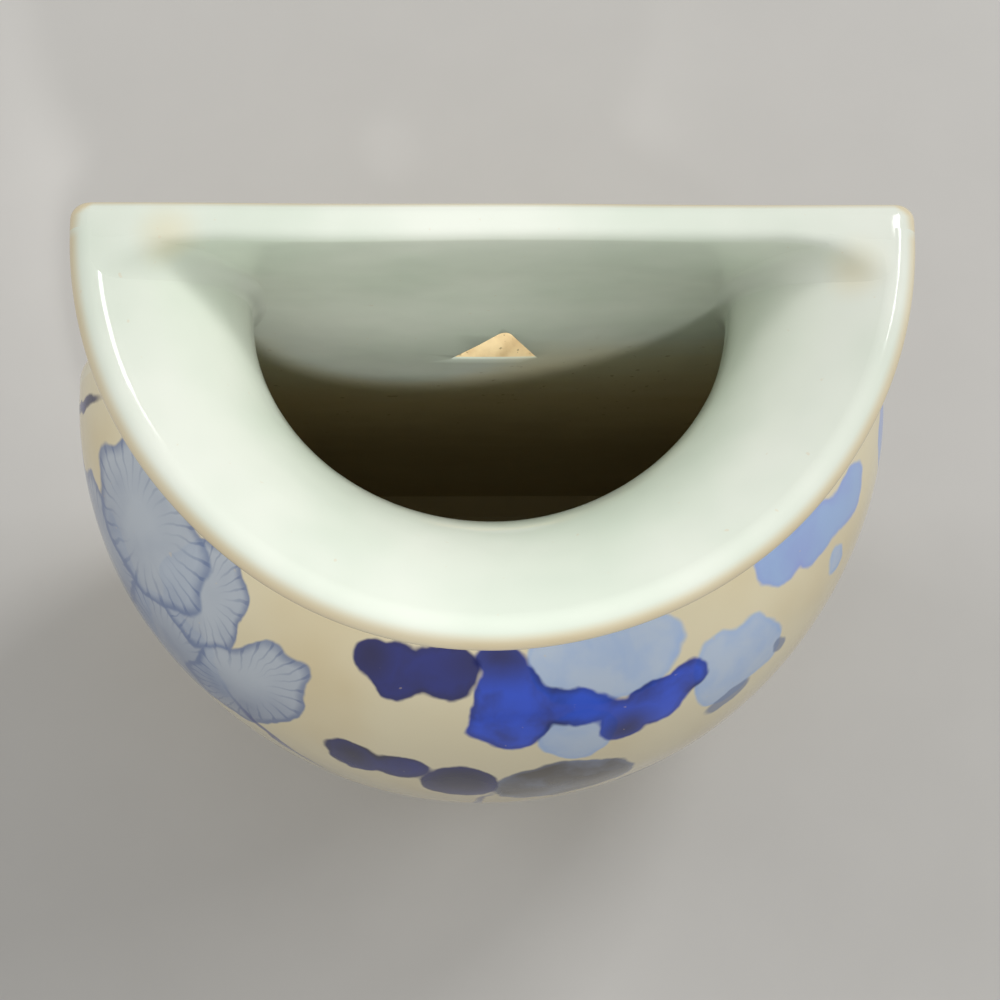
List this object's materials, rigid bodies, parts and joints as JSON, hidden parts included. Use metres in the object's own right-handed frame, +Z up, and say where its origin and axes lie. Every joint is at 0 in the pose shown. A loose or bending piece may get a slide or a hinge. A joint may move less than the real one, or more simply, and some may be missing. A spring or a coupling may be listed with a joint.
{
  "type": "wall vase",
  "caption": "Half-round ceramic wall vase with a flat back, flared mouth, narrow throat, round belly and a triangular hanging hole, white glaze painted in blue.",
  "frame": {"origin": "top of the hanging hole on the wall plane, in the middle plane of the vase, where the nail carries it", "axes": "+Z up, +Y into the wall, so the front of the vase faces -Y, and +X to the right of someone facing it"},
  "size_m": [0.131, 0.0695, 0.16],
  "materials": {
    "painted_glaze": "glossy white glaze over blue painting",
    "stained_inside": "bare fired clay, stained brown",
    "bare_foot": "bare fired clay, worn smooth"
  },
  "bodies": {
    "root": {"mouth": "painted_glaze", "belly": "painted_glaze", "back_slab": "painted_glaze", "floor": "stained_inside", "foot_ring": "bare_foot", "seam_coil_left": "stained_inside", "seam_coil_right": "stained_inside", "floor_coil": "stained_inside"}
  },
  "joints": []
}
